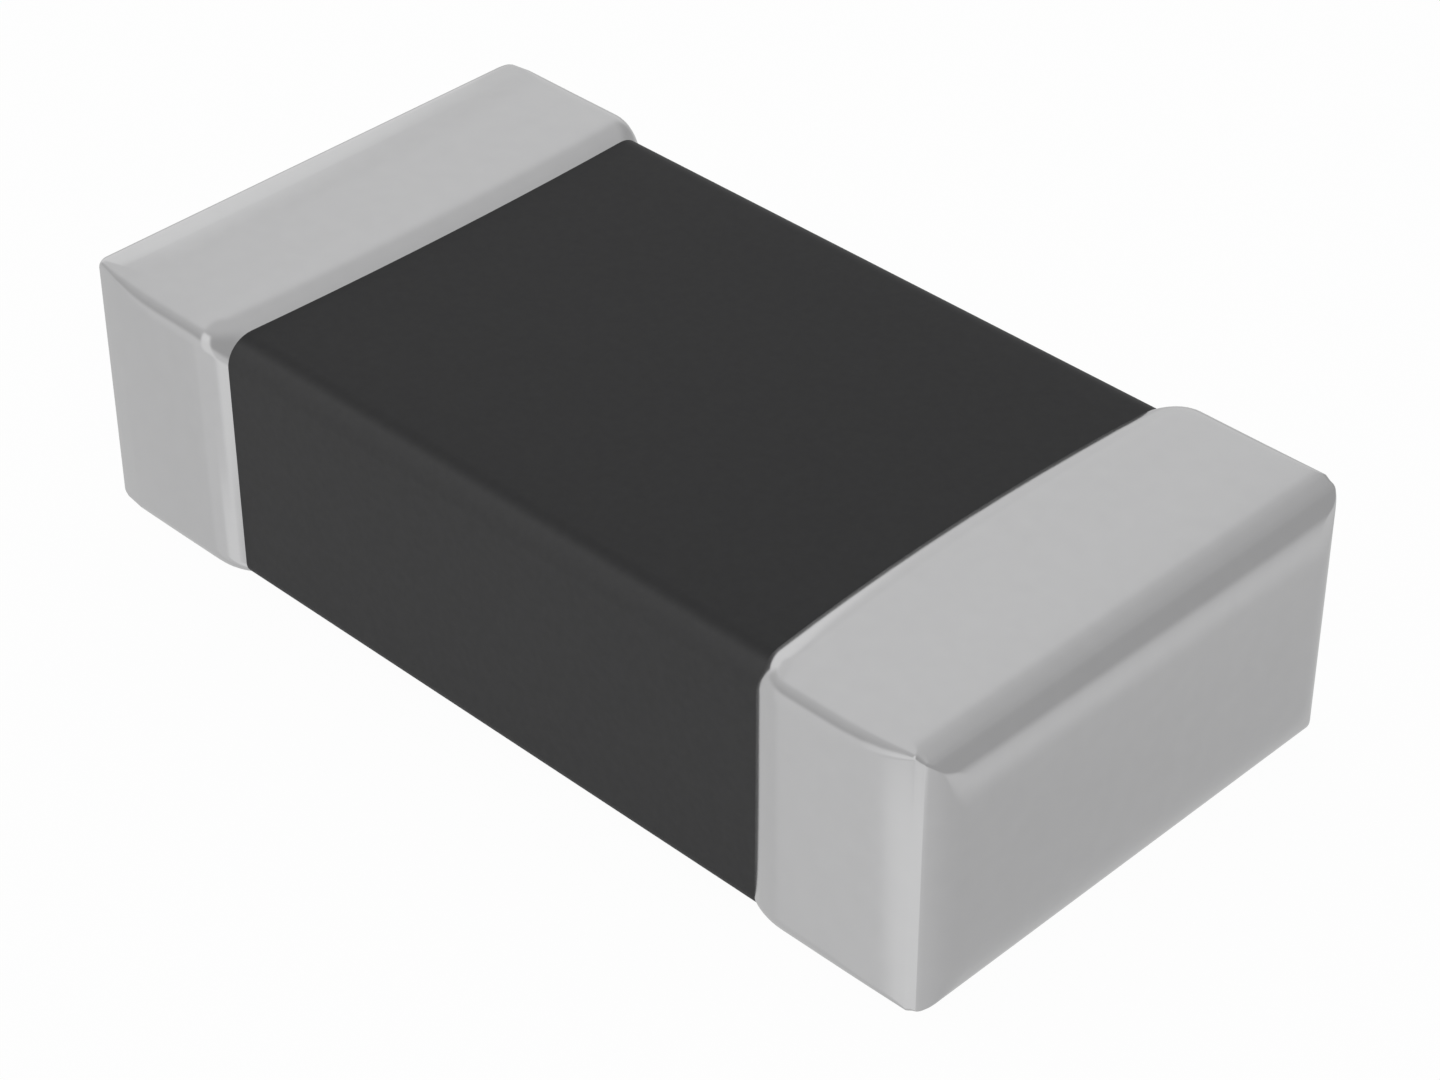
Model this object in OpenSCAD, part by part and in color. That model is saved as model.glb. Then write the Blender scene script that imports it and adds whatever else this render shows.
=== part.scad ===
// Multilayer ferrite chip inductor, 3216 metric (1206) size.
// X runs from the far termination to the near one and Z is up.
// The origin is the middle of the underside.

/* [Chip] */
// Length over both terminations
chip_length = 3.2; // [3.0:0.05:3.4]
// Width over the terminations
chip_width = 1.628; // [1.5:0.004:1.7]
// Height over the terminations
chip_height = 0.84; // [0.76:0.01:0.95]

/* [Ferrite block] */
// Radius of the two upper long edges
block_top_edge_r = 0.086; // [0.06:0.002:0.1]
// Radius of the two lower long edges
block_bottom_edge_r = 0.047; // [0.03:0.001:0.1]
// Radius of the edges round each end face
block_end_edge_r = 0.08; // [0.04:0.01:0.1]

/* [Terminations] */
// Reach of the near termination along the middle of the wide faces
near_band = 0.64; // [0.5:0.01:0.8]
// Reach of the far termination along the middle of the wide faces
far_band = 0.632; // [0.5:0.004:0.8]
// Radius of the bowed edge of the near termination, seen from above
near_bow_r = 7.8; // [5:0.1:30]
// Radius of the bowed edge of the far termination, seen from above
far_bow_r = 15.7; // [5:0.1:30]
// Thickness of the whole termination over the top of the block
film_top = 0.03; // [0.02:0.002:0.04]
// Thickness of the whole termination over the sides of the block
film_side = 0.03; // [0.02:0.002:0.04]
// Thickness of the whole termination over the underside of the block
film_bottom = 0.018; // [0.016:0.001:0.04]
// Thickness of the whole termination over the end faces of the block
film_end = 0.05; // [0.03:0.005:0.08]
// Radius on which the rim of a termination rises from the block
rim_r = 0.2; // [0.15:0.01:0.3]
// Radius of the long edges of a termination
long_edge_r = 0.078; // [0.06:0.002:0.1]
// Radius of the upper and lower edges of an end face
end_edge_r = 0.074; // [0.06:0.002:0.1]
// Radius of the shoulder that runs from those edges out into the end face
end_shoulder_r = 0.5; // [0.3:0.05:0.7]
// How far the surface has turned, in degrees, where that shoulder starts
end_shoulder_start = 77; // [72:1:82]
// Radius of the upright edges of an end face
upright_edge_r = 0.135; // [0.09:0.005:0.16]
// How far the surface has already turned, in degrees, where that radius starts
upright_edge_start = 40; // [28:1:50]
// Radius of the tight bend between the side and the upright edge
bend_r = 0.03; // [0.02:0.002:0.04]
// Length over which the top and the underside curve in towards each end face
crown_run_top = 0.3; // [0.2:0.01:0.4]
// How far the top and the underside come in over that length
crown_drop_top = 0.015; // [0.004:0.001:0.02]
// Length over which the sides curve in towards each end face
crown_run_side = 0.27; // [0.2:0.01:0.35]
// How far the sides come in over that length
crown_drop_side = 0.033; // [0.01:0.001:0.045]

/* [Plating] */
// Thickness of the nickel barrier
nickel_t = 0.004; // [0.003:0.001:0.005]
// Thickness of the tin plating
tin_t = 0.006; // [0.004:0.001:0.008]

/* [Coil] */
// Number of printed patterns, each three quarters of a turn
coil_prints = 10; // [6, 10, 14]
// Thickness of each print
print_t = 0.014; // [0.01:0.001:0.016]
// Ferrite left between one print and the next
sheet_t = 0.022; // [0.016:0.001:0.024]
// Width of the printed track
track_w = 0.14; // [0.1:0.01:0.18]
// Length of the coil along the middle of its track
coil_length = 2.46; // [2.2:0.02:2.6]
// Width of the coil along the middle of its track
coil_width = 1.04; // [0.9:0.02:1.1]
// Diameter of the pad at each end of a print
pad_d = 0.2; // [0.19:0.01:0.24]
// Diameter of the plug that joins a print to the one below it
plug_d = 0.09; // [0.06:0.01:0.12]
// Width of each lead-out where it meets its termination
lead_w = 0.5; // [0.3:0.05:0.7]

/* [Hidden] */

// How deep each layer's outer surface lies below the finished surface
tin_depth = 0;
nickel_depth = tin_t;
silver_depth = tin_t + nickel_t;

// Long edges and ends are rounded in small flats, so that layers a few microns thick stay parallel
long_edge_flats = 4;
long_edge_angles = [
    for (corner = [0, 90], k = [1:long_edge_flats]) corner + 90 * k / (long_edge_flats + 1)
];
crown_steps = 4;
edge_steps = 5;
bend_steps = 2;
shoulder_steps = 4;
upright_steps = 6;
rim_steps = 5;
// How far round its arc a rim goes, far enough to end inside the block
rim_turn = 60;
// Straight stretches in a bowed edge
bow_flats = 5;
// Flats round a pad or a plug
round_flats = 32;

// Length of a cut that reaches past the chip
beyond = chip_length;

block_end_x = chip_length / 2 - film_end;
block_z = [film_bottom, chip_height - film_top];
print_pitch = print_t + sheet_t;
coil_z = (block_z[0] + block_z[1] - (coil_prints + 1) * print_pitch - print_t) / 2;

ferrite_colour = [0.21, 0.21, 0.21];
silver_colour = [0.86, 0.85, 0.82];
nickel_colour = [0.66, 0.63, 0.57];
tin_colour = [0.72, 0.72, 0.73];

// Points along an arc about [x, y], from angle a to angle b
function arc(x, y, r, a, b, steps) = [
    for (i = [0:steps]) let (t = a + (b - a) * i / steps) [x + r * cos(t), y + r * sin(t)]
];

// The same arc without its first point, to go on from another
function onward(x, y, r, a, b, steps) = arc(x, y, r, a + (b - a) / steps, b, steps - 1);

function reversed(points) = [for (i = [len(points) - 1:-1:0]) points[i]];

// Joins an upper run of points and a lower one, given as its own mirror image, into an outline
function closed(upper, lower) = concat(upper, [for (p = reversed(lower)) [p.x, -p.y]]);

// The crown of a face comes in by a given drop over a given run: how far it turns, and its radius
function crown_turn(run, drop) = 2 * atan(drop / run);
function crown_r(run, drop) = run / sin(crown_turn(run, drop));

// One face of a termination near its end, at a depth below its finished surface. Three arcs, each
// starting in the direction in which the one before it ends: the crown, a tight edge, and a wider
// arc that takes over after a given turn and ends in the end face
function cap_end(half, run, drop, edge_r, edge_steps, start, last_r, last_steps, depth) =
    let (
        turn = crown_turn(run, drop),
        long_r = crown_r(run, drop),
        last_x = chip_length / 2 - last_r,
        edge_x = last_x + (last_r - edge_r) * sin(start),
        crown_x = edge_x + edge_r * sin(turn) - run,
        crown_y = half - long_r,
        edge_y = crown_y + (long_r - edge_r) * cos(turn),
        last_y = edge_y - (last_r - edge_r) * cos(start)
    )
    concat(
        arc(crown_x, crown_y, long_r - depth, 90, 90 - turn, crown_steps),
        onward(edge_x, edge_y, edge_r - depth, 90 - turn, 90 - start, edge_steps),
        onward(last_x, last_y, last_r - depth, 90 - start, 0, last_steps)
    );

// One face of the block near its end: level at height h, then the long arc of the crown, which
// lies a film below that of the termination, then one radius into the end face
function block_end(h, film, run, drop) =
    let (
        long_r = crown_r(run, drop) - film,
        crown_x = chip_length / 2 - block_end_edge_r - run,
        crown_y = h - long_r,
        x = block_end_x - block_end_edge_r,
        y = crown_y + sqrt(pow(long_r - block_end_edge_r, 2) - pow(x - crown_x, 2)),
        turn = atan2(y - crown_y, x - crown_x)
    )
    concat(
        arc(crown_x, crown_y, long_r, 90, turn, crown_steps),
        onward(x, y, block_end_edge_r, turn, 0, edge_steps)
    );

// One face from end to end
function both_ends(half) = concat([for (p = reversed(half)) [-p.x, p.y]], half);

// One face of a rim: an arc that leaves the block at edge_x and ends level at height h
function rim_face(h, rise, edge_x, depth) =
    let (x = edge_x + sqrt(pow(rim_r, 2) - pow(rim_r - rise, 2)))
    concat(arc(x, h - rim_r, rim_r - depth, 90 + rim_turn, 90, rim_steps), [[beyond, h - depth]]);

// How far a rounded section reaches from its centre in the direction phi
function reach(half_w, half_h, r, phi) = abs(cos(phi)) * (half_w - r) + sin(phi) * (half_h - r) + r;

// Extrudes an outline across the chip, with the outline's Y pointing in the direction phi:
// 0 gives a view from above and 90 a view from the side
module facing(phi) {
    translate([0, 0, chip_height / 2])
        rotate([phi, 0, 0])
            linear_extrude(height = beyond, center = true) children();
}

// A rounded bar with the given ends: what its view from above, its view from the side and its
// rounded section have in common. The films are what its faces lack to the finished surface
module chip_form(side_end, top_end, bottom_end, side, top, bottom, upper_r, lower_r) {
    half_w = chip_width / 2 - side;
    half_top = chip_height / 2 - top;
    half_bottom = chip_height / 2 - bottom;
    intersection() {
        facing(0) polygon(closed(both_ends(side_end), both_ends(side_end)));
        facing(90) polygon(closed(both_ends(top_end), both_ends(bottom_end)));
        intersection_for (phi = long_edge_angles) {
            upper = reach(half_w, half_top, upper_r, phi);
            lower = reach(half_w, half_bottom, lower_r, phi);
            facing(phi) translate([-beyond, -lower]) square([2 * beyond, upper + lower]);
        }
    }
}

module block_form() {
    half_w = chip_width / 2 - film_side;
    half_top = chip_height / 2 - film_top;
    half_bottom = chip_height / 2 - film_bottom;
    chip_form(
        block_end(half_w, film_side, crown_run_side, crown_drop_side),
        block_end(half_top, film_top, crown_run_top, crown_drop_top),
        block_end(half_bottom, film_bottom, crown_run_top, crown_drop_top),
        film_side, film_top, film_bottom,
        block_top_edge_r, block_bottom_edge_r
    );
}

// The space outside the rim of a termination: each face of its section rises from the block on
// the rim radius, and across the wide faces the edge is bowed
module rim_form(depth, band, bow_r) {
    edge_x = chip_length / 2 - band;
    bow_x = edge_x + bow_r;
    bow_step = asin(chip_width / 2 / bow_r) * 2 / bow_flats;
    intersection() {
        intersection_for (k = [-floor(bow_flats / 2):floor(bow_flats / 2)])
            translate([bow_x, 0, 0])
                rotate([0, 0, k * bow_step])
                    translate([-bow_x, 0, 0])
                        facing(90)
                            polygon(closed(
                                rim_face(chip_height / 2, film_top, edge_x, depth),
                                rim_face(chip_height / 2, film_bottom, edge_x, depth)
                            ));
        intersection_for (phi = concat([0], long_edge_angles)) {
            cap_reach = reach(chip_width / 2, chip_height / 2, long_edge_r, phi);
            upper = reach(chip_width / 2 - film_side, block_z[1] - chip_height / 2, block_top_edge_r, phi);
            lower = reach(chip_width / 2 - film_side, chip_height / 2 - block_z[0], block_bottom_edge_r, phi);
            edge_y = chip_width / 2 - long_edge_r * (1 - abs(cos(phi)));
            bowed_x = bow_x - sqrt(pow(bow_r, 2) - pow(edge_y, 2));
            facing(phi)
                polygon(closed(
                    rim_face(cap_reach, cap_reach - upper, bowed_x, depth),
                    rim_face(cap_reach, cap_reach - lower, bowed_x, depth)
                ));
        }
    }
}

// All that lies inside a layer of a termination whose outer surface is at the given depth
module cap_form(depth, band, bow_r) {
    side_end = cap_end(
        chip_width / 2, crown_run_side, crown_drop_side,
        bend_r, bend_steps, upright_edge_start, upright_edge_r, upright_steps, depth
    );
    top_end = cap_end(
        chip_height / 2, crown_run_top, crown_drop_top,
        end_edge_r, edge_steps, end_shoulder_start, end_shoulder_r, shoulder_steps, depth
    );
    intersection() {
        chip_form(
            side_end, top_end, top_end,
            depth, depth, depth,
            long_edge_r - depth, long_edge_r - depth
        );
        rim_form(depth, band, bow_r);
    }
}

// Silver paste, dipped on over the end of the block and fired
module silver_base(band, bow_r) {
    color(silver_colour)
        difference() {
            cap_form(silver_depth, band, bow_r);
            block_form();
        }
}

// Nickel, plated over the silver to keep solder off it
module nickel_barrier(band, bow_r) {
    color(nickel_colour)
        difference() {
            cap_form(nickel_depth, band, bow_r);
            cap_form(silver_depth, band, bow_r);
            block_form();
        }
}

// Tin, plated over the nickel to take the solder
module tin_plating(band, bow_r) {
    color(tin_colour)
        difference() {
            cap_form(tin_depth, band, bow_r);
            cap_form(nickel_depth, band, bow_r);
            block_form();
        }
}

// Corners of the coil's track, anticlockwise from the far left one
function coil_corner(i) =
    [
        [-coil_length / 2, -coil_width / 2],
        [coil_length / 2, -coil_width / 2],
        [coil_length / 2, coil_width / 2],
        [-coil_length / 2, coil_width / 2]
    ][i % 4];

function print_z(level) = coil_z + level * print_pitch;

// A straight stretch of track from a to b, which lie along X or along Y
module track(a, b, w) {
    low = [min(a.x, b.x), min(a.y, b.y)];
    size = [abs(a.x - b.x), abs(a.y - b.y)];
    translate(low - [w, w] / 2) square(size + [w, w]);
}

module pad(p) {
    translate(p) circle(d = pad_d, $fn = round_flats);
}

// The plug that fills a print's via hole, down to the print below
module plug(p) {
    translate([p.x, p.y, -sheet_t]) cylinder(d = plug_d, h = sheet_t, $fn = round_flats);
}

// A print covers three sides of the coil and starts over the end of the one below it
module coil_print(k) {
    start = 3 * (k - 1);
    color(silver_colour)
        translate([0, 0, print_z(k)]) {
            linear_extrude(height = print_t) {
                for (side = [0:2]) track(coil_corner(start + side), coil_corner(start + side + 1), track_w);
                pad(coil_corner(start));
                pad(coil_corner(start + 3));
            }
            plug(coil_corner(start));
        }
}

// Half a short side of the coil and a broad strip out to the end face
module lead_pattern() {
    corner = coil_corner(0);
    inner_x = corner.x + track_w / 2;
    linear_extrude(height = print_t) {
        track(corner, [corner.x, 0], track_w);
        pad(corner);
        translate([-block_end_x, -lead_w / 2]) square([block_end_x + inner_x, lead_w]);
    }
}

module lead_out_far() {
    color(silver_colour) translate([0, 0, print_z(0)]) lead_pattern();
}

module lead_out_near() {
    color(silver_colour)
        translate([0, 0, print_z(coil_prints + 1)])
            rotate([0, 0, 180]) {
                lead_pattern();
                plug(coil_corner(0));
            }
}

// The sintered block, closed round the coil
module ferrite_body() {
    color(ferrite_colour)
        difference() {
            block_form();
            lead_out_far();
            for (k = [1:coil_prints]) coil_print(k);
            lead_out_near();
        }
}

ferrite_body();
lead_out_far();
for (k = [1:coil_prints])
    coil_print(k);
lead_out_near();
silver_base(near_band, near_bow_r);  // silver_base_near
nickel_barrier(near_band, near_bow_r);  // nickel_barrier_near
tin_plating(near_band, near_bow_r);  // tin_plating_near
mirror([1, 0, 0]) silver_base(far_band, far_bow_r);  // silver_base_far
mirror([1, 0, 0]) nickel_barrier(far_band, far_bow_r);  // nickel_barrier_far
mirror([1, 0, 0]) tin_plating(far_band, far_bow_r);  // tin_plating_far
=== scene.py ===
import math

import bmesh
import bpy
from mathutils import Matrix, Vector


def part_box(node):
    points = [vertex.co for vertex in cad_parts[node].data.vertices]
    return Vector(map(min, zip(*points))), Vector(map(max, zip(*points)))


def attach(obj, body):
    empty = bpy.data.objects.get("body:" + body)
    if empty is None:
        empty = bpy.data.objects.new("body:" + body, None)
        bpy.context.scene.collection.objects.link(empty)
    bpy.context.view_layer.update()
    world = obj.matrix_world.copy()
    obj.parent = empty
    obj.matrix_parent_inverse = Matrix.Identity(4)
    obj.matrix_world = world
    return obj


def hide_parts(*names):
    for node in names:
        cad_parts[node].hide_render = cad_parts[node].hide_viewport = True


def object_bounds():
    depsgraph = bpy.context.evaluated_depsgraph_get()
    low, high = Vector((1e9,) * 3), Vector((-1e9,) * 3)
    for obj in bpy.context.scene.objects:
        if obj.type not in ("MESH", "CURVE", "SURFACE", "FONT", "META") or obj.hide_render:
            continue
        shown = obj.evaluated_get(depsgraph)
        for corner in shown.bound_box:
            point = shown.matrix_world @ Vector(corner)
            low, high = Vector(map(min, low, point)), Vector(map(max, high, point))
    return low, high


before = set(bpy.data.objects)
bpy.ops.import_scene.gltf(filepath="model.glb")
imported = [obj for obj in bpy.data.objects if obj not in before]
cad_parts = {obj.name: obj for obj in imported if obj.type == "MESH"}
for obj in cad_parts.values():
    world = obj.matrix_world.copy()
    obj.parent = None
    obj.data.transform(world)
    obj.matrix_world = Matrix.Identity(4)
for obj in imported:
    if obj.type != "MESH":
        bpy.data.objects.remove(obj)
cad_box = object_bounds()
bpy.ops.object.select_all(action="DESELECT")


# The coil: ten prints of silver paste, each three quarters of a turn, and a broad lead-out print at
# each end of the stack. Each was screened on its own ferrite sheet and sintered with it, so the
# silver is slightly porous and dull, and it is seen only where the chip is cut open.
class Amount:
    """An output of a node. Python's own operators add Math nodes to it."""

    def __init__(self, wiring, socket):
        self.wiring = wiring
        self.socket = socket

    def combined(self, operation, *values):
        return self.wiring.add("ShaderNodeMath", {"operation": operation}, dict(enumerate(values)))

    def __add__(self, other):
        return self.combined("ADD", self, other)

    def __mul__(self, other):
        return self.combined("MULTIPLY", self, other)

    def __sub__(self, other):
        return self.combined("SUBTRACT", self, other)

    def __rsub__(self, other):
        return self.combined("SUBTRACT", other, self)

    __radd__ = __add__
    __rmul__ = __mul__


class Wiring:
    """The nodes of a material or of the world."""

    def __init__(self, owner):
        owner.use_nodes = True
        self.nodes = owner.node_tree.nodes
        self.links = owner.node_tree.links

    def add(self, kind, settings, inputs, output=0):
        """Adds a node, its settings first, then its inputs, and gives back one of its outputs."""
        node = self.nodes.new(kind)
        for name, value in settings.items():
            setattr(node, name, value)
        for name, value in inputs.items():
            self.feed(node.inputs[name], value)
        return Amount(self, node.outputs[output])

    def feed(self, socket, value):
        if isinstance(value, Amount):
            self.links.new(value.socket, socket)
        else:
            socket.default_value = value

    def blend(self, first, second, factor):
        """A colour between two, chosen by factor."""
        return self.add("ShaderNodeMix", {"data_type": "RGBA"}, {0: factor, 6: first, 7: second}, 2)

    def rise(self, value, low, high):
        """0 below low, 1 above high and soft between."""
        inputs = {"Value": value, "From Min": low, "From Max": high}
        return self.add("ShaderNodeMapRange", {"interpolation_type": "SMOOTHSTEP"}, inputs)

    def fall(self, value, low, high):
        """1 below low, 0 above high and soft between."""
        return 1 - self.rise(value, low, high)


class Finish(Wiring):
    """A material with one surface shader, whose sockets are set by name."""

    def __init__(self, name, **uniform):
        self.material = bpy.data.materials.new(name)
        super().__init__(self.material)
        self.shader = self.nodes["Principled BSDF"]
        for socket, value in uniform.items():
            self.set(socket.replace("_", " "), value)
        self.place = self.add("ShaderNodeTexCoord", {}, {}, "Object")

    def set(self, name, value):
        self.feed(self.shader.inputs[name], value)

    def mottle(self, grain, detail):
        """Uneven patches about as wide as grain, in metres, from 0 to 1."""
        inputs = {"Vector": self.place, "Scale": 1 / grain, "Detail": detail}
        return self.add("ShaderNodeTexNoise", {}, inputs, "Fac")

    def relief(self, height, depth):
        """Bumps as deep as depth, in metres."""
        inputs = {"Height": height, "Distance": depth}
        self.set("Normal", self.add("ShaderNodeBump", {}, inputs, "Normal"))


def metal(name, grain, detail, colours, roughness, depth):
    """A bare metal. Its grain runs from one colour and roughness to another, and may stand out."""
    finish = Finish(name, Metallic=1.0)
    patches = finish.mottle(grain, detail)
    finish.set("Base Color", finish.blend(*colours, patches))
    finish.set("Roughness", roughness[0] + (roughness[1] - roughness[0]) * patches)
    if depth:
        finish.relief(patches, depth)
    return finish


def coat(node, finish):
    """Gives a finish to a solid that stays as it is."""
    node.data.materials.clear()
    node.data.materials.append(finish.material)


print_silver = metal(
    "printed_silver",
    grain=12e-6,
    detail=3.0,
    colours=((0.55, 0.53, 0.5, 1), (0.8, 0.78, 0.74, 1)),
    roughness=(0.38, 0.58),
    depth=0.6e-6,
)

for name in sorted(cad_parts):
    if name.startswith(("coil_print", "lead_out")):
        coat(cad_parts[name], print_silver)


# The ferrite block: a stack of ceramic sheets, pressed, diced and fired into one dark grey piece,
# then tumbled until its edges are round. It is closed round the coil, and only the two lead-outs
# reach its end faces.

# Pieces are shaped in millimetres, and brought to metres when they are finished
MM = 0.001
# Points nearer to each other than this stand in the same place
HAIR = 5e-6
SMOOTH_UP_TO = math.radians(30)
LARGE_FACE_WEIGHT = 100

EDGE_SEGMENTS = 10
WIDTH_CUTS = 9
TURN_STEP = math.radians(9)
LEAST_TURN_STEPS = 3
LEAST_STEP = 0.0015

BLOCK_TOP_EDGE_R = 0.086
BLOCK_BOTTOM_EDGE_R = 0.047
BLOCK_END_EDGE_R = 0.08
LEAST_EDGE_R = 0.018
# Where two faces come in towards the end, the round edge between them stays put and grows sharper
EDGE_TAPER = 1 / (2 - math.sqrt(2))
# A crown is the long arc on which a face comes in towards the end: its radius and how far it turns
TOP_CROWN = (3.0075, 5.7248)
SIDE_CROWN = (1.1211, 13.9366)
CAVITY_MARGIN = 0.01
# The corners of the solid are merged while it is still in metres
CAVITY_MERGE = 1e-9

# The faces that the dicing saw left, a painted highlight on the upper round edges, and painted shade on
# the flat top
DICED_COLOURS = ((0.046, 0.046, 0.047, 1), (0.06, 0.06, 0.061, 1))
EDGE_HIGHLIGHT_COLOURS = ((0.06, 0.06, 0.061, 1), (0.072, 0.072, 0.073, 1))
TOP_SHADE_COLOURS = ((0.027, 0.027, 0.028, 1), (0.0355, 0.0355, 0.0365, 1))
# Depths under the block's top, in millimetres: where the painted highlight starts, where it is full and
# the painted shade on the top starts, and where that shade is full
EDGE_HIGHLIGHT_FROM = 0.09
EDGE_HIGHLIGHT_TO = 0.02
TOP_SHADE_FROM = 0.001
FERRITE_GRAIN = 25e-6
FERRITE_DETAIL = 3.0
FERRITE_DEPTH = 0.3e-6


def pick(test, of=lambda part: part.verts):
    """Selects what passes the test, and nothing else."""
    mesh = bpy.context.edit_object.data
    part = bmesh.from_edit_mesh(mesh)
    for item in [*part.verts, *part.edges, *part.faces]:
        item.select = False
    for item in of(part):
        if test(item):
            item.select_set(True)
    bmesh.update_edit_mesh(mesh)


def new_piece(name):
    """Starts a piece at the origin and leaves it open in edit mode."""
    piece = bpy.data.objects.new(name, bpy.data.meshes.new(name))
    bpy.context.collection.objects.link(piece)
    bpy.ops.object.select_all(action="DESELECT")
    piece.select_set(True)
    bpy.context.view_layer.objects.active = piece
    bpy.ops.object.mode_set(mode="EDIT")
    bpy.ops.mesh.select_mode(type="VERT")
    return piece


def section(x, half_width, top, bottom, top_r, bottom_r):
    """Adds one ring of edges, a rectangle with round corners that stands across the chip at x."""
    middle = (top + bottom) / 2
    bpy.ops.mesh.select_all(action="DESELECT")
    bpy.ops.mesh.primitive_plane_add(size=1, location=(x, 0, middle), rotation=(0, math.pi / 2, 0))
    bpy.ops.transform.resize(value=(1, 2 * half_width, top - bottom), center_override=(x, 0, middle))
    for side, radius in ((1, top_r), (-1, bottom_r)):
        pick(lambda v: abs(v.co.x - x) < HAIR and side * (v.co.z - middle) > 0)
        bpy.ops.mesh.bevel(affect="VERTICES", offset=radius, segments=EDGE_SEGMENTS, profile=0.5)

    def runs_across(edge):
        return all(
            abs(v.co.x - x) < HAIR and min(abs(v.co.z - top), abs(v.co.z - bottom)) < HAIR
            for v in edge.verts
        )

    pick(runs_across, of=lambda part: part.edges)
    bpy.ops.mesh.subdivide(number_cuts=WIDTH_CUTS)
    pick(lambda v: abs(v.co.x - x) < HAIR)
    bpy.ops.mesh.delete(type="ONLY_FACE")


def skin(sections):
    """Lays a skin over rings that stand one behind the other."""
    for place in sections:
        section(*place)
    bpy.ops.mesh.select_all(action="SELECT")
    bpy.ops.mesh.bridge_edge_loops()


def finished(piece):
    """Brings a piece from millimetres to metres, faces out, with smooth and sharp edges set."""
    bpy.ops.mesh.select_all(action="SELECT")
    bpy.ops.mesh.normals_make_consistent(inside=False)
    bpy.ops.transform.resize(value=(MM, MM, MM), center_override=(0, 0, 0))
    bpy.ops.object.mode_set(mode="OBJECT")
    bpy.ops.object.shade_smooth_by_angle(angle=SMOOTH_UP_TO)
    bpy.ops.object.modifier_add(type="WEIGHTED_NORMAL")
    shading = piece.modifiers[-1]
    shading.keep_sharp = True
    shading.weight = LARGE_FACE_WEIGHT
    bpy.ops.object.modifier_apply(modifier=shading.name)


class Face:
    """One face near an end: level first, then arcs, each (first x, centre x, centre height, radius)."""

    def __init__(self, level, *arcs):
        self.level = level
        self.arcs = arcs

    def __call__(self, x):
        height = self.level
        for first_x, centre_x, centre, radius in self.arcs:
            if x > first_x:
                height = centre + math.sqrt(max(0.0, radius**2 - (x - centre_x) ** 2))
        return height

    def places(self, end_x):
        """Where sections stand so that the face turns a little from each one to the next."""
        last_x = [arc[0] for arc in self.arcs[1:]] + [end_x]
        for (first_x, centre_x, centre, radius), stop_x in zip(self.arcs, last_x):
            first = math.asin((first_x - centre_x) / radius)
            last = math.asin(min(1.0, (stop_x - centre_x) / radius))
            steps = max(LEAST_TURN_STEPS, round((last - first) / TURN_STEP))
            for i in range(steps + 1):
                yield centre_x + radius * math.sin(first + (last - first) * i / steps)


def block_face(level, film, crown):
    """A face of the block: the crown, which lies a film under the termination's, then one radius."""
    crown_r = crown[0] - film
    crown_x = near_high.x - BLOCK_END_EDGE_R - crown[0] * math.sin(math.radians(crown[1]))
    edge_x = block_high.x - BLOCK_END_EDGE_R
    lean = (edge_x - crown_x) / (crown_r - BLOCK_END_EDGE_R)
    edge_centre = level - crown_r + (crown_r - BLOCK_END_EDGE_R) * math.sqrt(1 - lean**2)
    return Face(
        level,
        (crown_x, crown_x, level - crown_r, crown_r),
        (edge_x + BLOCK_END_EDGE_R * lean, edge_x, edge_centre, BLOCK_END_EDGE_R),
    )


def stations(end_x, *faces):
    """The places of all faces in order, without those that all but coincide."""
    kept = []
    for x in sorted(x for face in faces for x in face.places(end_x)):
        if not kept or x - kept[-1] > LEAST_STEP:
            kept.append(x)
    return kept[:-1] + [end_x]


block_low, block_high = (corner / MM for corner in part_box("ferrite_body"))
near_low, near_high = (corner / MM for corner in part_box("tin_plating_near"))
far_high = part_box("tin_plating_far")[1] / MM
mid_z = (near_low.z + near_high.z) / 2
half_height = (near_high.z - near_low.z) / 2

block_depth = near_high.z - block_high.z
block_faces = [
    block_face(block_high.y, block_depth, SIDE_CROWN),
    block_face(block_high.z - mid_z, block_depth, TOP_CROWN),
    block_face(mid_z - block_low.z, block_low.z - near_low.z, TOP_CROWN),
]
block_sections = []
for x in stations(block_high.x, *block_faces):
    side, top, bottom = (face(x) for face in block_faces)
    taper = EDGE_TAPER * (block_faces[0].level - side + block_faces[1].level - top)
    top_r = max(BLOCK_TOP_EDGE_R - taper, LEAST_EDGE_R)
    bottom_r = max(BLOCK_BOTTOM_EDGE_R - taper, LEAST_EDGE_R)
    block_sections.append((x, side, mid_z + top, mid_z - bottom, top_r, bottom_r))

block = new_piece("ferrite_block")
skin([(-x, *form) for x, *form in reversed(block_sections)] + block_sections)
bpy.ops.object.mode_set(mode="OBJECT")

# The walls of the coil's cavity come from a copy of the solid, without its outer faces
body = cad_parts["ferrite_body"]
bpy.ops.object.select_all(action="DESELECT")
body.select_set(True)
bpy.context.view_layer.objects.active = body
bpy.ops.object.duplicate()
cavity = bpy.context.object
cavity.data.materials.clear()
bpy.ops.object.mode_set(mode="EDIT")
bpy.ops.mesh.select_all(action="SELECT")
bpy.ops.mesh.remove_doubles(threshold=CAVITY_MERGE)
bpy.ops.transform.resize(value=(1 / MM, 1 / MM, 1 / MM), center_override=(0, 0, 0))
cavity_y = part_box("coil_print_1")[1].y / MM + CAVITY_MARGIN
cavity_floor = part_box("lead_out_far")[0].z / MM - CAVITY_MARGIN
cavity_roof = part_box("lead_out_near")[1].z / MM + CAVITY_MARGIN
pick(lambda v: abs(v.co.y) > cavity_y or not cavity_floor < v.co.z < cavity_roof)
bpy.ops.mesh.delete(type="VERT")
bpy.ops.object.mode_set(mode="OBJECT")

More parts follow.
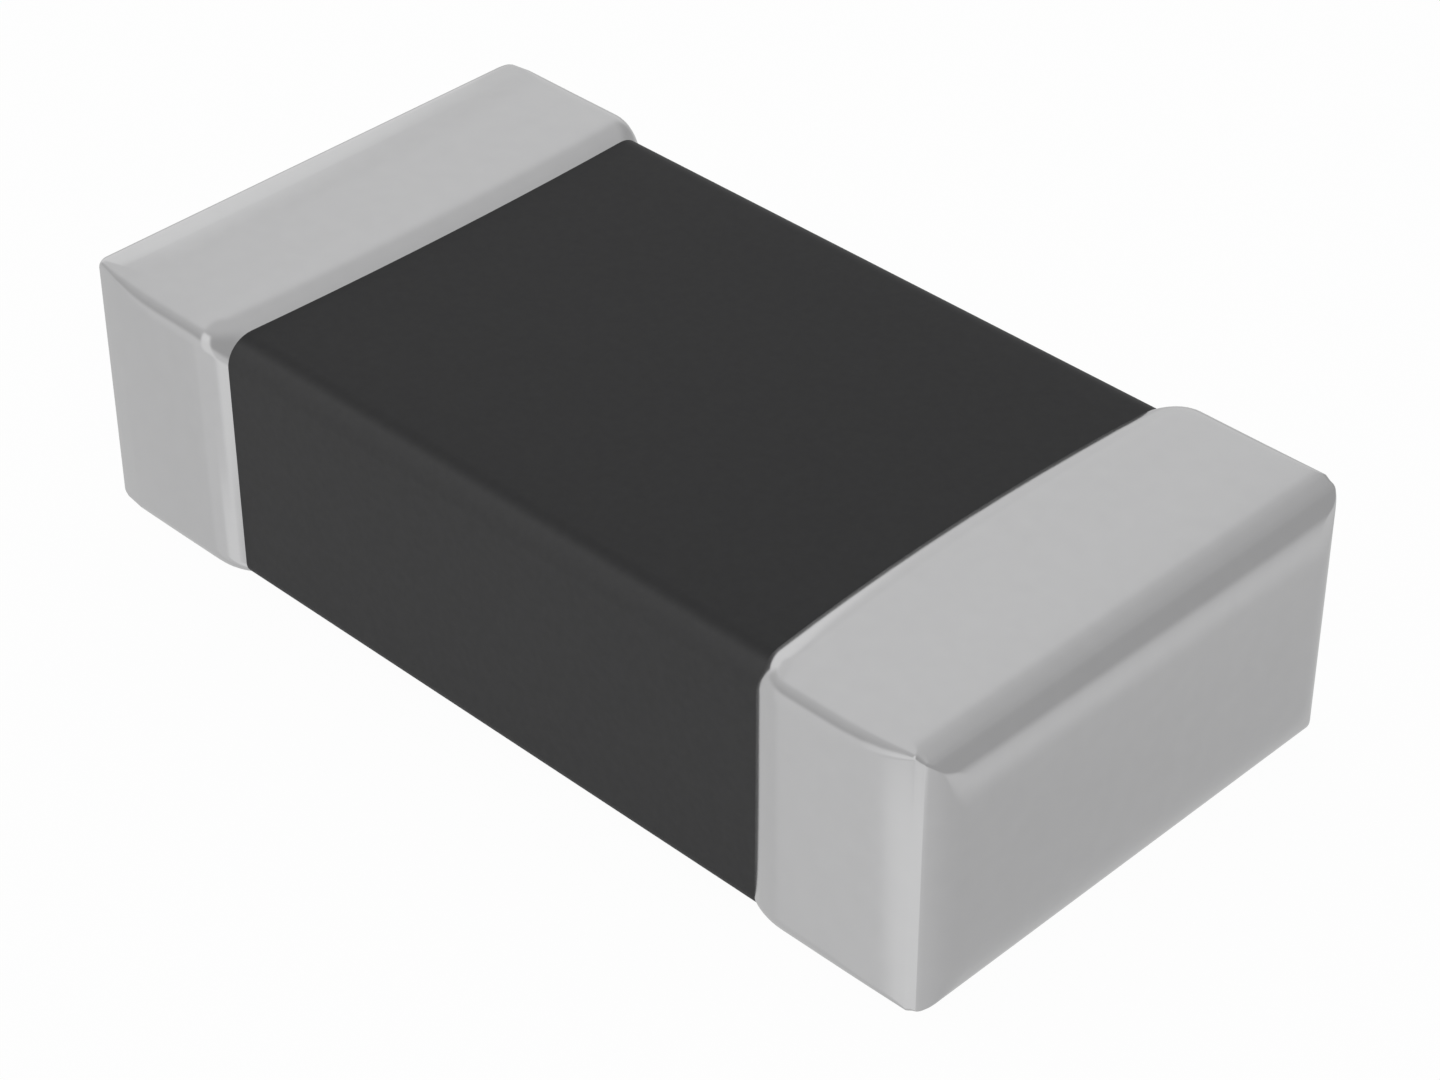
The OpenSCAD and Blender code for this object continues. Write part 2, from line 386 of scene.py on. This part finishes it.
# The end faces are filled in between the block's skin and the mouths of the cavity
block.select_set(True)
bpy.context.view_layer.objects.active = block
bpy.ops.object.join()
bpy.ops.object.mode_set(mode="EDIT")
for end_x in (block_high.x, -block_high.x):
    pick(
        lambda e: e.is_boundary and all(abs(v.co.x - end_x) < HAIR for v in e.verts),
        of=lambda part: part.edges,
    )
    bpy.ops.mesh.fill()
finished(block)

ferrite = Finish("ferrite", Roughness=0.6, Specular_IOR_Level=0.2)
ferrite_grain = ferrite.mottle(FERRITE_GRAIN, FERRITE_DETAIL)
ferrite_z = ferrite.add("ShaderNodeSeparateXYZ", {}, {0: ferrite.place}, "Z")
block_top = block_high.z
# Painted highlight: a lighter band on the upper round edges, chosen by height
edge_highlight = ferrite.rise(ferrite_z, (block_top - EDGE_HIGHLIGHT_FROM) * MM, (block_top - EDGE_HIGHLIGHT_TO) * MM)
# Painted shade: the flat top is darker, chosen by height
top_shade = ferrite.rise(ferrite_z, (block_top - EDGE_HIGHLIGHT_TO) * MM, (block_top - TOP_SHADE_FROM) * MM)
diced_colour = ferrite.blend(*DICED_COLOURS, ferrite_grain)
edge_highlight_colour = ferrite.blend(*EDGE_HIGHLIGHT_COLOURS, ferrite_grain)
top_shade_colour = ferrite.blend(*TOP_SHADE_COLOURS, ferrite_grain)
side_and_highlight_colour = ferrite.blend(diced_colour, edge_highlight_colour, edge_highlight)
ferrite.set("Base Color", ferrite.blend(side_and_highlight_colour, top_shade_colour, top_shade))
ferrite.relief(ferrite_grain, FERRITE_DEPTH)
block.data.materials.append(ferrite.material)
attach(block, "root")
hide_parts("ferrite_body")


# The silver bases and the nickel barriers: each end of the block is dipped in silver and glass
# paste, blotted and fired, then plated with a few microns of nickel, which keep the solder off the
# silver. The silver is dull and uneven, the nickel satin and faintly yellow.
silver = metal(
    "fired_silver",
    grain=20e-6,
    detail=3.0,
    colours=((0.5, 0.49, 0.47, 1), (0.72, 0.7, 0.67, 1)),
    roughness=(0.5, 0.7),
    depth=1e-6,
)
nickel = metal(
    "nickel",
    grain=8e-6,
    detail=2.0,
    colours=((0.42, 0.39, 0.34, 1), (0.5, 0.47, 0.41, 1)),
    roughness=(0.3, 0.4),
    depth=0.3e-6,
)

for end in ("near", "far"):
    coat(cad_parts[f"silver_base_{end}"], silver)
    coat(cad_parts[f"nickel_barrier_{end}"], nickel)


# The tin plating: the outer skin of each termination, matt tin plated over the nickel. The dipped
# paste under it drew back from the upright edges and left a tight bend there, and the rim of each
# termination is bowed and rises softly from the ferrite.
LONG_EDGE_R = 0.078
CORNER_R = 0.05
# A corner may be this many times as round as the skin there is thick, and the skin still covers it
CORNER_REACH = 3
# The arcs of a face from its level part to the end face: radius, and how far it has turned at its end
SIDE_ARCS = (SIDE_CROWN, (0.03, 40), (0.135, 90))
NEAR_TOP_ARCS = ((3.82, 2.5), (0.2, 10), (0.06, 22), (0.2, 34), (0.075, 72), (0.35, 90))
FAR_TOP_ARCS = ((1.38, 8.3), (0.074, 77), (0.5, 90))
TOP_ARCS_BELOW = (TOP_CROWN, (0.074, 77), (0.5, 90))
RIM_R = 0.2
RIM_STEPS = 7
RIM_CLEARANCE = 0.065
NEAR_BOW_R = 7.8
FAR_BOW_R = 15.7
TIN_T = 0.006


def cap_face(level, arcs, depth):
    """A face of a termination at a depth below the finished surface, with its arcs up to its end."""
    turns = [0.0] + [math.radians(turn) for radius, turn in arcs]
    radii = [radius for radius, turn in arcs]
    centres_x = [near_high.x - radii[-1]]
    for i in reversed(range(1, len(arcs))):
        centres_x.insert(0, centres_x[0] + (radii[i] - radii[i - 1]) * math.sin(turns[i]))
    centre = level - radii[0]
    placed = []
    for i, radius in enumerate(radii):
        if i:
            centre += (radii[i - 1] - radius) * math.cos(turns[i])
        first_x = centres_x[i] + (radius - depth) * math.sin(turns[i])
        placed.append((first_x, centres_x[i], centre, radius - depth))
    return Face(level - depth, *placed)


def termination_sections(edge_x, depth, top_arcs):
    """Sections over one termination at a depth below its finished surface, from its rim to its end."""
    end_x = near_high.x - depth
    side_face = cap_face(near_high.y, SIDE_ARCS, depth)
    top_face = cap_face(half_height, top_arcs, depth)
    side_below = cap_face(near_high.y, SIDE_ARCS, depth + TIN_T)
    top_below = cap_face(half_height, TOP_ARCS_BELOW, depth + TIN_T)
    rim_x = edge_x + math.sqrt(RIM_R**2 - (RIM_R - block_depth) ** 2)
    steepest = math.acos((RIM_R - block_depth) / (RIM_R - depth))
    sections = []
    for i in range(RIM_STEPS + 1):
        slope = steepest * (1 - i / RIM_STEPS)
        rise = (RIM_R - depth) * (math.cos(slope) - math.cos(steepest))
        share = rise / (block_depth - depth)
        sections.append((
            rim_x - (RIM_R - depth) * math.sin(slope),
            block_high.y + share * (near_high.y - depth - block_high.y),
            block_high.z + share * (near_high.z - depth - block_high.z),
            block_low.z + share * (near_low.z + depth - block_low.z),
            BLOCK_TOP_EDGE_R + share * (LONG_EDGE_R - depth - BLOCK_TOP_EDGE_R),
            BLOCK_BOTTOM_EDGE_R + share * (LONG_EDGE_R - depth - BLOCK_BOTTOM_EDGE_R),
        ))
    for x in [rim_x + RIM_CLEARANCE, *stations(end_x, side_face, top_face)]:
        side, top = side_face(x), top_face(x)
        drop = side_face.level - side + top_face.level - top
        cover = min(side - side_below(x), top - top_below(x))
        edge_r = max(LONG_EDGE_R - depth - EDGE_TAPER * drop, min(CORNER_REACH * cover, CORNER_R))
        sections.append((x, side, mid_z + top, mid_z - top, edge_r, edge_r))
    return sections


def close_end(x):
    """Closes the ring that stands at x with a flat face."""
    pick(lambda v: abs(v.co.x - x) < HAIR)
    bpy.ops.mesh.edge_face_add()


def bow(rim_end_x, bow_r):
    """Bows the rim: the further from the middle of the chip's width, the nearer the end face."""
    mesh = bpy.context.edit_object.data
    part = bmesh.from_edit_mesh(mesh)
    for v in part.verts:
        if not v.hide and v.co.x < rim_end_x:
            v.co.x += bow_r - math.sqrt(bow_r**2 - v.co.y**2)
    bmesh.update_edit_mesh(mesh)


tin = metal(
    "matt_tin",
    grain=60e-6,
    detail=2.0,
    colours=((0.585, 0.585, 0.59, 1), (0.615, 0.615, 0.62, 1)),
    roughness=(0.13, 0.17),
    depth=0,
)

for end, side, edge_x, bow_r, arcs in (
    ("near", 1, near_low.x, NEAR_BOW_R, NEAR_TOP_ARCS),
    ("far", -1, -far_high.x, FAR_BOW_R, FAR_TOP_ARCS),
):
    plating = new_piece(f"tin_skin_{end}")
    for depth, top_arcs in ((0, arcs), (TIN_T, TOP_ARCS_BELOW)):
        bpy.ops.mesh.select_all(action="SELECT")
        bpy.ops.mesh.hide()
        sections = termination_sections(edge_x, depth, top_arcs)
        skin(sections)
        close_end(sections[-1][0])
        bow(sections[RIM_STEPS][0] + HAIR, bow_r)
    bpy.ops.mesh.reveal(select=False)
    pick(lambda e: e.is_boundary, of=lambda part: part.edges)
    bpy.ops.mesh.bridge_edge_loops()
    bpy.ops.mesh.select_all(action="SELECT")
    bpy.ops.transform.resize(value=(side, 1, 1), center_override=(0, 0, 0))
    finished(plating)
    plating.data.materials.append(tin.material)
    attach(plating, "root")
    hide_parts(f"tin_plating_{end}")


# The floor: a pale matt board that the camera sees as all but white, with the chip's soft shadow on
# it. The metal doesn't show it. Its sizes are in metres.
FLOOR_HALF = 0.4
FLOOR_DROP = 1e-6
FLOOR_WHITE = 0.97
FLOOR_COLOUR = (0.9, 0.9, 0.9, 1)

floor_paint = Finish("floor_paint", Roughness=0.9, Specular_IOR_Level=0.0)
floor_paint.set("Base Color", FLOOR_COLOUR)
seen = floor_paint.add("ShaderNodeLightPath", {}, {}, "Is Camera Ray")
white = floor_paint.add("ShaderNodeEmission", {}, {"Strength": 1.0})
painted = Amount(floor_paint, floor_paint.shader.outputs[0])
surface = floor_paint.add("ShaderNodeMixShader", {}, {0: FLOOR_WHITE * seen, 1: painted, 2: white})
floor_paint.feed(floor_paint.nodes["Material Output"].inputs["Surface"], surface)

floor_z = cad_box[0].z - FLOOR_DROP
bpy.ops.mesh.primitive_plane_add(size=2 * FLOOR_HALF, location=(0, 0, floor_z))
floor = bpy.context.object
floor.name = "floor"
floor.visible_glossy = False
floor.data.materials.append(floor_paint.material)


# The studio around the chip: bright overhead and behind, duller along the horizon to the left and
# right, pale below, with a tall soft panel in front and a low one at the rear left. The camera sees
# all of it as white. Left is the far termination's side, and the camera is at the front right.
HORIZON = 0.5
UNDER_OVERHEAD = 0.675
FRONT_LEFT_LIFT = 0.03
OVERHEAD = 0.81
LEFT_DIP = 0.04
REAR_PANEL = 0.925
GROUND = 0.68
GROUND_SLOPE = (-0.065, -0.09, 0)
GROUND_TILT = 0.12
GROUND_LEFT_DIP = 0.06
FAR_GROUND = 0.16
PANEL = 0.94
PANEL_TOP = 0.06
PANEL_AZIMUTH = math.radians(-13)
PANEL_HALF_WIDTH = math.radians(11)
PANEL_SOFT = math.radians(2.5)

UP = (0, 0, 1)
UP_AND_LEFT = (-0.5, 0, 1)
LEFT = (-1, 0, 0)
RIGHT = (1, 0, 0)
FRONT = (0, -1, 0)
FRONT_LEFT = (-0.7, -0.7, 0)
REAR_RIGHT = (0.7, 0.7, 0)
REAR_LEFT = (-0.707, 0.707, 0)
TO_PANEL = (math.sin(PANEL_AZIMUTH), -math.cos(PANEL_AZIMUTH), 0)

# The edges of the zones, each soft from its first number to its second
CLIMB = (0.25, 0.97)
FRONT_LEFT_EDGE = (0.6, 0.9)
GROUND_EDGE = (0.0, 0.25)
GROUND_LEFT_EDGE = (0.7, 0.8)
FAR_GROUND_EDGE = (0.5, 0.9)
FAR_GROUND_DEPTH = (-0.68, -0.44)
OVERHEAD_EDGE = (0.74, 0.92)
LEFT_DIP_EDGE = (0.655, 0.7)
RIGHT_EDGE = (-0.47, -0.22)
REAR_EDGE = (0.5, 0.75)
REAR_FOOT = (-0.2, 0.05)
REAR_PANEL_EDGE = (0.8, 0.82)
REAR_PANEL_TOP = (0.38, 0.45)
PANEL_EDGE = (math.cos(PANEL_HALF_WIDTH + PANEL_SOFT), math.cos(PANEL_HALF_WIDTH - PANEL_SOFT))
PANEL_CLIMB = (0.0, 0.3)
PANEL_TOP_EDGE = (0.45, 0.6)
# Low down, where only the far termination's side and rim show it, the panel stands further right
RIM_PANEL_FOOT = (-0.6, -0.582)
RIM_PANEL_TOP = (-0.45, -0.35)
RIM_PANEL_LEFT = (-0.2, -0.05)
RIM_PANEL_RIGHT = (0.35, 0.45)
RIM_PANEL_FRONT = (0.5, 0.7)

world = bpy.data.worlds.new("studio")
bpy.context.scene.world = world
sky = Wiring(world)
way = sky.add("ShaderNodeTexCoord", {}, {}, "Generated")
flat = sky.add("ShaderNodeVectorMath", {"operation": "MULTIPLY"}, {0: way, 1: (1, 1, 0)})
flat = sky.add("ShaderNodeVectorMath", {"operation": "NORMALIZE"}, {0: flat})


def along(direction, vector):
    """How far a vector reaches in a direction."""
    inputs = {0: vector, 1: direction}
    return sky.add("ShaderNodeVectorMath", {"operation": "DOT_PRODUCT"}, inputs, "Value")


def changed(level, other, share):
    """A brightness that goes over to another by a share."""
    return level + share * (other - level)


height = along(UP, way)
front_leftward = along(FRONT_LEFT, way)
leftward = along(LEFT, flat)
rightward = along(RIGHT, flat)

level = HORIZON + (UNDER_OVERHEAD - HORIZON) * sky.rise(along(UP_AND_LEFT, way), *CLIMB)
level = level + FRONT_LEFT_LIFT * sky.rise(front_leftward, *FRONT_LEFT_EDGE)

below = sky.rise(GROUND_TILT * front_leftward - height, *GROUND_EDGE)
far_ground = sky.rise(along(REAR_RIGHT, way), *FAR_GROUND_EDGE) * sky.rise(height, *FAR_GROUND_DEPTH)
ground = GROUND + along(GROUND_SLOPE, way) + FAR_GROUND * far_ground
ground = ground - GROUND_LEFT_DIP * sky.rise(leftward, *GROUND_LEFT_EDGE)
level = changed(level, ground, below)

overhead = sky.rise(along(UP_AND_LEFT, way), *OVERHEAD_EDGE)
rear = sky.rise(along(REAR_LEFT, flat), *REAR_EDGE) * sky.rise(height, *REAR_FOOT)
rear_panel = sky.rise(leftward, *REAR_PANEL_EDGE) * sky.fall(height, *REAR_PANEL_TOP)
bright = sky.add("ShaderNodeMath", {"operation": "MAXIMUM"}, {0: overhead, 1: rear})
bright = bright * sky.fall(along(RIGHT, way), *RIGHT_EDGE)
bright_level = OVERHEAD - LEFT_DIP * sky.rise(along(LEFT, way), *LEFT_DIP_EDGE)
level = changed(level, changed(bright_level, REAR_PANEL, rear_panel), bright)

panel = sky.rise(along(TO_PANEL, flat), *PANEL_EDGE) * sky.fall(height, *PANEL_TOP_EDGE)
rim_panel = sky.rise(rightward, *RIM_PANEL_LEFT) * sky.fall(rightward, *RIM_PANEL_RIGHT)
rim_panel = rim_panel * sky.rise(along(FRONT, flat), *RIM_PANEL_FRONT)
rim_heights = sky.rise(height, *RIM_PANEL_FOOT) * sky.fall(height, *RIM_PANEL_TOP)
panel = changed(panel, rim_panel, rim_heights)
level = changed(level, PANEL + PANEL_TOP * sky.rise(height, *PANEL_CLIMB), panel)

seen = sky.add("ShaderNodeLightPath", {}, {}, "Is Camera Ray")
level = level * (1 - seen) + seen
grey = sky.add("ShaderNodeCombineXYZ", {}, {0: level, 1: level, 2: level})
sky.feed(sky.nodes["Background"].inputs["Color"], grey)


# The camera: it stands where the photograph's did, above the near corner and close to the chip. Its
# direction, distance and small shift were found by fitting the chip's outline to the photograph.
AZIMUTH = math.radians(44.45)
ELEVATION = math.radians(36.662)
LENS = 93.66
SENSOR_WIDTH = 36
CLIP_START = 0.001
CLIP_END = 10
DISTANCE = 10.2256e-3
PAN_RIGHT = 0.0779e-3
PAN_UP = -0.1405e-3

back = Vector((
    math.sin(AZIMUTH) * math.cos(ELEVATION),
    -math.cos(AZIMUTH) * math.cos(ELEVATION),
    math.sin(ELEVATION),
))
right = Vector(UP).cross(back).normalized()
up = back.cross(right)
camera = bpy.data.objects.new("camera", bpy.data.cameras.new("camera"))
bpy.context.collection.objects.link(camera)
camera.data.lens = LENS
camera.data.sensor_width = SENSOR_WIDTH
camera.data.clip_start = CLIP_START
camera.data.clip_end = CLIP_END
camera.location = Vector((0, 0, mid_z * MM)) + DISTANCE * back + PAN_RIGHT * right + PAN_UP * up
camera.rotation_mode = "QUATERNION"
camera.rotation_quaternion = (-back).to_track_quat("-Z", "Y")
bpy.context.scene.camera = camera
bpy.context.scene.view_settings.view_transform = "Standard"
